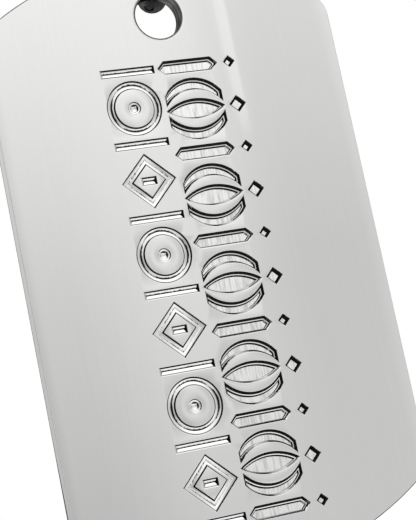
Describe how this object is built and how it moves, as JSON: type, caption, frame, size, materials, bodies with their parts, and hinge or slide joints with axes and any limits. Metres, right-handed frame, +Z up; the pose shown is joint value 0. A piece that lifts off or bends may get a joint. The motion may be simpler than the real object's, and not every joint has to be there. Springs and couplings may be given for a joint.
{
  "type": "identification dog tag on a ball chain",
  "caption": "Flat steel identification tag with rounded ends and an engraved border, hung by a round hole on a closed ball chain in its worn form.",
  "frame": {"origin": "middle of the chain at the back of the neck, where the worn loop hangs, inside the clasp", "axes": "+Z up, the tag's engraved face looks along -Y, +X is to the right of a viewer in front of the tag"},
  "size_m": [0.1268, 0.1233, 0.251],
  "materials": {
    "polished_plate": "polished stainless steel plate with fine lengthways polishing streaks",
    "ball_steel": "bright tumbled stainless steel",
    "wire_steel": "drawn stainless steel wire"
  },
  "bodies": {
    "chain": {"chain_balls": "ball_steel", "chain_wire": "wire_steel", "chain_clasp": "ball_steel"},
    "tag": {"tag_plate": "polished_plate"}
  },
  "joints": [
    {"name": "tag_swing", "type": "hinge", "parent": "chain", "child": "tag", "pos_m": [0, -0.118, -0.2056], "axis": [0, 1, 0], "range_deg": [-45, 45]}
  ]
}
